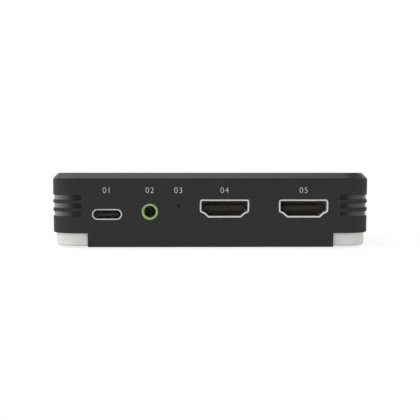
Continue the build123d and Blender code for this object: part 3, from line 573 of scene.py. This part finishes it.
class CAPTURE_BOX_OT_numbers(bpy.types.Operator):
    """Prints a plain number over each place along the port wall"""

    bl_idname = "capture_box.numbers"
    bl_label = "Printed Numbers"
    bl_options = {"REGISTER", "UNDO"}

    def execute(self, context):
        scene = context.scene
        look = scene.box_print
        ink = Finish("ink", look.ink, rough=0.55)
        ink.mottled(grain=0.25 * MM, amount=0.12)
        ink.bumped(ink.noise(grain=0.05 * MM), depth=0.004 * MM)
        for count, node in enumerate(NUMBERED, 1):
            piece = self.printed(scene, f"{count:02d}", f"printed_number_{count}", mid(node).x)
            ink.put_on(piece.name)
            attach(piece, CASE)
        return {"FINISHED"}

    def printed(self, scene, digits, name, x):
        """One number as a thin film of ink on the leaning wall."""
        look = scene.box_print
        text = bpy.data.curves.new(name + "_text", "FONT")
        text.body = digits
        text.align_x = "CENTER"
        text.align_y = "CENTER"
        text.extrude = look.film / 2
        text.offset = -look.thinning
        text.space_character = look.spacing
        source = bpy.data.objects.new(name + "_text", text)
        scene.collection.objects.link(source)
        scene.view_layers[0].update()
        finished = source.evaluated_get(bpy.context.evaluated_depsgraph_get())
        mesh = bpy.data.meshes.new_from_object(finished)
        bpy.data.objects.remove(source)
        heights = [vertex.co.y for vertex in mesh.vertices]
        tall = max(heights) - min(heights)
        centre = (max(heights) + min(heights)) / 2
        point, slope = port_wall_point(x, look.level)
        scale = look.height / tall
        grown = Matrix.Diagonal((scale, scale, 1, 1))
        tilted = Matrix.Rotation(math.pi / 2 + math.atan(slope), 4, "X")
        centred = Matrix.Translation((0, -centre, 0))
        mesh.transform(Matrix.Translation(point) @ tilted @ grown @ centred)
        mesh.name = name
        piece = bpy.data.objects.new(name, mesh)
        scene.collection.objects.link(piece)
        return piece


class CAPTURE_BOX_OT_video_sockets(bpy.types.Operator):
    """Finishes the two large video sockets"""

    bl_idname = "capture_box.video_sockets"
    bl_label = "Video Sockets"
    bl_options = {"REGISTER", "UNDO"}

    def execute(self, context):
        look = context.scene.box_socket
        steel = plated_metal("socket_steel", look.steel, rough=0.50, run=(1, 0.05, 1))
        nylon = plain_plastic("socket_nylon_painted_light", look.nylon, rough=0.42)
        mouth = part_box("video_out_shell")[0].y
        # Painted light: the blocks turn paler deep inside the socket, where little light reaches
        nylon.painted_light_inside(mouth + look.painted_light_start, mouth + look.painted_light_end, look.painted_light_nylon)
        gold = plated_metal("contact_gold", look.gold, rough=0.22, run=(1, 0.1, 1), grain=0.05 * MM)
        for side in ("out", "in"):
            steel.put_on(f"video_{side}_shell")
            nylon.put_on(f"video_{side}_insulator")
            gold.put_on(f"video_{side}_contacts")
        return {"FINISHED"}


class CAPTURE_BOX_OT_data_socket(bpy.types.Operator):
    """Finishes the small reversible socket"""

    bl_idname = "capture_box.data_socket"
    bl_label = "Data Socket"
    bl_options = {"REGISTER", "UNDO"}

    def execute(self, context):
        look = context.scene.box_socket
        steel = plated_metal("data_steel", look.data_steel, rough=0.45, run=(1, 0.05, 1))
        steel.put_on("data_socket_shell")
        nylon = plain_plastic("data_nylon_painted_light", look.nylon, rough=0.38)
        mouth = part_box("data_socket_shell")[0].y
        # Painted light: the block turns paler deep inside the socket, where little light reaches
        nylon.painted_light_inside(mouth + look.painted_light_start, mouth + look.painted_light_end, look.painted_light_nylon)
        nylon.put_on("data_socket_insulator")
        gold = plated_metal("data_gold", look.gold, rough=0.2, run=(1, 0.1, 1), grain=0.04 * MM)
        gold.put_on("data_socket_contacts")
        return {"FINISHED"}


class CAPTURE_BOX_OT_audio_socket(bpy.types.Operator):
    """Finishes the audio socket and its green ring"""

    bl_idname = "capture_box.audio_socket"
    bl_label = "Audio Socket"
    bl_options = {"REGISTER", "UNDO"}

    def execute(self, context):
        look = context.scene.box_socket
        plain_plastic("ring_plastic", look.ring, rough=0.34).put_on("audio_socket_ring")
        jack = plain_plastic("jack_nylon_painted_light", look.nylon, rough=0.45)
        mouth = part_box("audio_socket_body")[0].y
        # Painted light: the socket's bore turns near white deep inside, where little light reaches
        jack.painted_light_inside(mouth + look.jack_painted_light_start, mouth + look.jack_painted_light_end, look.jack_painted_light)
        jack.put_on("audio_socket_body")
        plated_metal("jack_silver", look.jack_springs, rough=0.35).put_on("audio_socket_contacts")
        return {"FINISHED"}


class CAPTURE_BOX_OT_push_switch(bpy.types.Operator):
    """Finishes the push switch behind the pinhole"""

    bl_idname = "capture_box.push_switch"
    bl_label = "Push Switch"
    bl_options = {"REGISTER", "UNDO"}

    def execute(self, context):
        look = context.scene.box_switch
        plain_plastic("switch_nylon", look.nylon, rough=0.48).put_on("mix_switch_base")
        plain_plastic("plunger_nylon", look.plunger, rough=0.40).put_on("mix_switch_plunger")
        steel = plated_metal("switch_steel", look.steel, rough=0.3, run=(1, 1, 0.1))
        steel.put_on("mix_switch_bracket", "mix_switch_terminals")
        return {"FINISHED"}


# Steps of the dome's curve, from its middle to its rim
DOME_RINGS = 16


class CAPTURE_BOX_OT_snap_dome(bpy.types.Operator):
    """Makes the switch's thin steel dome in its raised shape; the real dome flattens as the plunger goes in
    """

    bl_idname = "capture_box.snap_dome"
    bl_label = "Snap Dome"
    bl_options = {"REGISTER", "UNDO"}

    def execute(self, context):
        look = context.scene.box_switch
        low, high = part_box("mix_switch_dome")
        middle = mid("mix_switch_dome")
        centre = Vector((middle.x, high.y, middle.z))
        reach = (high.x - low.x) / 2
        rise = high.y - low.y - look.sheet
        curve = (reach**2 + rise**2) / (2 * rise)
        hollow = []
        for ring in range(DOME_RINGS + 1):
            radius = reach * ring / DOME_RINGS
            depth = rise - curve + math.sqrt(curve**2 - radius**2)
            hollow.append((radius, high.y - depth))
        crown = [(radius, y - look.sheet) for radius, y in reversed(hollow)]
        dome = turned("snap_dome", hollow + crown, centre)
        plated_metal("dome_steel", look.steel, rough=0.22).put_on(dome.name)
        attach(dome, CASE)
        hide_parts("mix_switch_dome")
        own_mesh(dome)
        return {"FINISHED"}


# Tracks and plated holes, with the soft edge of each as shares of the spacing
TRACK_SPACING = 2.4 * MM
TRACK_EDGE_SHARES = (0.03, 0.06)
VIA_SPACING = 3.1 * MM
VIA_EDGE_SHARES = (0.09, 0.11)


class CAPTURE_BOX_OT_circuit_board(bpy.types.Operator):
    """Finishes the circuit board with its tracks and plated holes"""

    bl_idname = "capture_box.circuit_board"
    bl_label = "Circuit Board"
    bl_options = {"REGISTER", "UNDO"}

    def execute(self, context):
        look = context.scene.box_board
        finish = Finish(
            "board_laminate", look.lacquer, rough=0.32, Coat_Weight=0.4, Coat_Roughness=0.12
        )
        tracks = finish.spots("TexVoronoi", TRACK_SPACING, feature="DISTANCE_TO_EDGE", distance="MANHATTAN")
        copper = finish.falling(tracks.outputs["Distance"], TRACK_EDGE_SHARES)
        vias = finish.spots("TexVoronoi", VIA_SPACING)
        rings = finish.falling(vias.outputs["Distance"], VIA_EDGE_SHARES)
        tone = finish.mixed(copper, (*look.lacquer, 1), (*look.track, 1))
        finish.tone = finish.mixed(rings, tone, (*look.tin, 1))
        finish.set(Base_Color=finish.tone)
        finish.patchy(grain=1.5 * MM, amount=0.05)
        finish.bumped(copper, depth=0.03 * MM)
        finish.put_on("main_board")
        return {"FINISHED"}


class CAPTURE_BOX_OT_chips(bpy.types.Operator):
    """Finishes the chips and the flash chip's leads"""

    bl_idname = "capture_box.chips"
    bl_label = "Chips"
    bl_options = {"REGISTER", "UNDO"}

    def execute(self, context):
        look = context.scene.box_board
        resin = plain_plastic("chip_resin", look.resin, rough=0.55, grain=0.08 * MM, depth=0.006 * MM)
        resin.put_on(
            "capture_processor",
            "video_splitter_chip",
            "video_receiver_chip",
            "memory_chips",
            "flash_chip",
            "audio_codec_chip",
            "voltage_regulators",
            "surge_arrays",
        )
        plated_metal("lead_tin", look.tin, rough=0.3, grain=0.06 * MM).put_on("flash_chip_leads")
        return {"FINISHED"}


class CAPTURE_BOX_OT_heat_sink(bpy.types.Operator):
    """Finishes the finned heat sink and its soft pad"""

    bl_idname = "capture_box.heat_sink"
    bl_label = "Heat Sink"
    bl_options = {"REGISTER", "UNDO"}

    def execute(self, context):
        look = context.scene.box_board
        sink = plated_metal("black_anodised", look.sink, rough=0.42, run=(1, 0.04, 1))
        sink.put_on("heat_sink")
        pad = Finish("pad_silicone", look.pad, rough=0.75)
        pad.mottled(grain=0.9 * MM, amount=0.15)
        pad.patchy(grain=0.6 * MM, amount=0.06)
        pad.bumped(pad.noise(grain=0.3 * MM, detail=3), depth=0.02 * MM)
        pad.put_on("thermal_pad")
        return {"FINISHED"}


# The tin's crystals vary in roughness and in tone
SPANGLE_ROUGH = (0.22, 0.40)
SPANGLE_DARK_SHARE = 0.86
# Radius that the can's edges look rounded to
CAN_EDGE = 0.06 * MM


class CAPTURE_BOX_OT_screening(bpy.types.Operator):
    """Finishes the screening can and its frame"""

    bl_idname = "capture_box.screening"
    bl_label = "Screening Can"
    bl_options = {"REGISTER", "UNDO"}

    def execute(self, context):
        look = context.scene.box_board
        finish = Finish("can_tin", look.tin, rough=0.3, metallic=1.0)
        spangle = finish.spots("TexVoronoi", grain=2.2 * MM).outputs["Color"]
        level = finish.add("RGBToBW", {"Color": spangle}).outputs[0]
        finish.set(Roughness=finish.between(level, (0, 1), SPANGLE_ROUGH))
        dark = [value * SPANGLE_DARK_SHARE for value in finish.tint]
        finish.set(Base_Color=finish.ramp(level, ((0, dark), (1, finish.tint))))
        finish.rounded(CAN_EDGE)
        finish.bumped(finish.noise(grain=0.4 * MM, stretch=(1, 0.1, 1)), depth=0.002 * MM)
        finish.put_on("shield_can", "shield_frame")
        return {"FINISHED"}


class CAPTURE_BOX_OT_small_parts(bpy.types.Operator):
    """Finishes the rows of capacitors and resistors"""

    bl_idname = "capture_box.small_parts"
    bl_label = "Small Parts"
    bl_options = {"REGISTER", "UNDO"}

    def execute(self, context):
        look = context.scene.box_board
        tin = plated_metal("end_tin", look.tin, rough=0.36, grain=0.08 * MM)
        tin.put_on("ceramic_capacitor_ends", "chip_resistor_ends")
        plain_plastic("capacitor_ceramic", look.ceramic, rough=0.5).put_on("ceramic_capacitors")
        plain_plastic("resistor_glaze", look.glaze, rough=0.3).put_on("chip_resistors")
        return {"FINISHED"}


class CAPTURE_BOX_OT_power_parts(bpy.types.Operator):
    """Finishes the inductors, crystals and tall capacitors"""

    bl_idname = "capture_box.power_parts"
    bl_label = "Power Parts"
    bl_options = {"REGISTER", "UNDO"}

    def execute(self, context):
        look = context.scene.box_board
        ferrite = plain_plastic(
            "inductor_ferrite", look.ferrite, rough=0.7, grain=0.12 * MM, depth=0.02 * MM
        )
        ferrite.put_on("power_inductors")
        plated_metal("crystal_lid", look.crystal, rough=0.25).put_on("crystal_cans")
        cans = plated_metal("drawn_aluminium", look.aluminium, rough=0.3, run=(1, 1, 0.05))
        cans.put_on("tall_capacitors")
        plain_plastic("tall_nylon", look.nylon, rough=0.5).put_on("tall_capacitor_bases")
        return {"FINISHED"}


# How bright the room is from its left, -1, to its right, 1, as shares of its brightest side
SIDE_SHARES = (
    (-1.0, 1.0),
    (-0.95, 0.82),
    (-0.88, 0.66),
    (-0.79, 0.57),
    (-0.68, 0.41),
    (-0.55, 0.27),
    (-0.40, 0.18),
    (-0.20, 0.10),
    (0.20, 0.10),
    (0.29, 0.16),
    (0.44, 0.28),
    (0.68, 0.34),
    (0.84, 0.46),
    (1.0, 0.46),
)


# Where the room's areas fade into each other, as x, y or z of a direction of length 1
LEFT_FADE = (-0.6, -0.3)
REAR_FADE = (0, 0.5)
HORIZON_FADE = (-0.04, 0.04)
BACKDROP_FADE = (0.2, 0.7)
BACKDROP_END_FADE = (0.5, 0.9)
SOFTBOX_LEFT_FADE = (-0.85, -0.65)
SOFTBOX_RIGHT_FADE = (0.14, 0.26)
SOFTBOX_DEPTH_FADE = (0.4, 0.6)
FRONT_FADE = (-0.7, -0.4)
CEILING_FADE = (0.3, 0.6)


class CAPTURE_BOX_OT_stage(bpy.types.Operator):
    """Sets the pale floor, the light of the room and the camera"""

    bl_idname = "capture_box.stage"
    bl_label = "Stage"
    bl_options = {"REGISTER", "UNDO"}

    def execute(self, context):
        scene = context.scene
        look = scene.box_stage
        scene.view_settings.view_transform = "Standard"
        self.floor(scene, look)
        self.room(scene, look)
        self.camera(scene, look)
        return {"FINISHED"}

    def floor(self, scene, look):
        """A floor that looks white where it is seen, and still takes the box's shadow."""
        mesh = bpy.data.meshes.new("floor")
        left, front = (value - look.floor_margin for value in cad_box[0][:2])
        right, back = (value + look.floor_margin for value in cad_box[1][:2])
        corners = [(left, front, 0), (right, front, 0), (right, back, 0), (left, back, 0)]
        mesh.from_pydata(corners, [], [(0, 1, 2, 3)])
        floor = bpy.data.objects.new("floor", mesh)
        scene.collection.objects.link(floor)
        paper = Finish("floor_paper", look.floor, rough=0.9, Specular_IOR_Level=0.0)
        paper.mottled(grain=200 * MM, amount=0.01)
        rays = paper.add("LightPath").outputs
        tone = paper.mixed(rays["Is Camera Ray"], paper.tone, (*look.floor_seen, 1))
        paper.set(Base_Color=tone)
        shiny = paper.math("MAXIMUM", rays["Is Glossy Ray"], rays["Is Transmission Ray"])
        shiny = paper.product(shiny, look.floor_gloss)
        glow = paper.picked(rays["Is Camera Ray"], shiny, look.floor_glow)
        paper.set(Emission_Color=(1, 1, 1, 1), Emission_Strength=glow)
        mesh.materials.append(paper.material)

    def room(self, scene, look):
        """A tent of light, white to the eye."""
        world = bpy.data.worlds.new("room")
        world.use_nodes = True
        scene.world = world
        wiring = Wiring(world.node_tree)
        way = wiring.add("TexCoord").outputs["Generated"]
        x, y, z = wiring.add("SeparateXYZ", {0: way}).outputs
        sides = self.sides(wiring, look, x, y, z)
        ceiling = self.ceiling(wiring, look, x, y)
        light = wiring.picked(wiring.rising(z, CEILING_FADE), sides, ceiling)
        seen = wiring.add("LightPath").outputs["Is Camera Ray"]
        paint = world.node_tree.nodes["Background"].inputs
        wiring.feed(paint["Strength"], wiring.picked(seen, light, 1.0))
        paint["Color"].default_value = (1, 1, 1, 1)

    def sides(self, wiring, look, x, y, z):
        """The room's sides: bright at the left, dim in front and bright behind."""
        across = wiring.math("MULTIPLY", wiring.math("ADD", x, 1), 0.5)
        stops = [((place + 1) / 2, (part, part, part)) for place, part in SIDE_SHARES]
        side = wiring.product(wiring.ramp(across, stops), look.side_glow)
        rear = wiring.product(wiring.rising(y, REAR_FADE), wiring.falling(x, LEFT_FADE))
        under = wiring.picked(rear, look.low_share, look.low_rear_share)
        side = wiring.product(side, wiring.between(z, HORIZON_FADE, (under, 1)))
        middle = wiring.falling(wiring.math("ABSOLUTE", x), BACKDROP_END_FADE)
        behind = wiring.product(wiring.rising(y, BACKDROP_FADE), middle)
        return wiring.picked(behind, side, look.back_glow)

    def ceiling(self, wiring, look, x, y):
        """The ceiling: a soft box left of the middle, and brighter towards the camera."""
        across = wiring.product(
            wiring.falling(x, SOFTBOX_RIGHT_FADE), wiring.rising(x, SOFTBOX_LEFT_FADE)
        )
        deep = wiring.falling(wiring.math("ABSOLUTE", y), SOFTBOX_DEPTH_FADE)
        plain = wiring.between(y, FRONT_FADE, (look.front_glow, look.ceiling_glow))
        return wiring.picked(wiring.product(across, deep), plain, look.softbox_glow)

    def camera(self, scene, look):
        """A camera straight before the port wall, about level with the lid's top."""
        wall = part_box("body_shell")[0].y
        eye = Vector((look.eye_side, wall - look.eye_distance, look.eye_height))
        target = Vector((look.aim_side, wall, look.view_level))
        data = bpy.data.cameras.new("camera")
        data.lens = data.sensor_width * (target - eye).length / look.view_width
        camera = bpy.data.objects.new("camera", data)
        camera.location = eye
        camera.rotation_euler = (eye - target).to_track_quat("Z", "Y").to_euler()
        scene.collection.objects.link(camera)
        scene.camera = camera


STEPS = (
    CAPTURE_BOX_OT_top_cover,
    CAPTURE_BOX_OT_body_shell,
    CAPTURE_BOX_OT_base_shell,
    CAPTURE_BOX_OT_corner_bars,
    CAPTURE_BOX_OT_rubber_feet,
    CAPTURE_BOX_OT_screws,
    CAPTURE_BOX_OT_numbers,
    CAPTURE_BOX_OT_video_sockets,
    CAPTURE_BOX_OT_data_socket,
    CAPTURE_BOX_OT_audio_socket,
    CAPTURE_BOX_OT_push_switch,
    CAPTURE_BOX_OT_snap_dome,
    CAPTURE_BOX_OT_circuit_board,
    CAPTURE_BOX_OT_chips,
    CAPTURE_BOX_OT_heat_sink,
    CAPTURE_BOX_OT_screening,
    CAPTURE_BOX_OT_small_parts,
    CAPTURE_BOX_OT_power_parts,
    CAPTURE_BOX_OT_stage,
)


class CAPTURE_BOX_PT_sidebar(bpy.types.Panel):
    """Lists the steps and their sizes and colours"""

    bl_label = "Capture Box"
    bl_idname = "CAPTURE_BOX_PT_sidebar"
    bl_space_type = "VIEW_3D"
    bl_region_type = "UI"
    bl_category = "Capture Box"

    def draw(self, context):
        for step in STEPS:
            self.layout.operator(step.bl_idname)
        for name, look in LOOKS.items():
            box = self.layout.box()
            group = getattr(context.scene, name)
            for key in look.__annotations__:
                box.prop(group, key)


def register():
    """Adds the groups, the steps and the panel."""
    for cls in (*LOOKS.values(), *STEPS, CAPTURE_BOX_PT_sidebar):
        bpy.utils.register_class(cls)
    for name, look in LOOKS.items():
        setattr(bpy.types.Scene, name, PointerProperty(type=look))


def unregister():
    """Takes them out again."""
    for name in LOOKS:
        delattr(bpy.types.Scene, name)
    for cls in (CAPTURE_BOX_PT_sidebar, *reversed(STEPS), *reversed(LOOKS.values())):
        bpy.utils.unregister_class(cls)


def main():
    """Runs every step."""
    register()
    for step in STEPS:
        getattr(bpy.ops.capture_box, step.bl_idname.split(".")[1])()


if __name__ == "__main__":
    main()
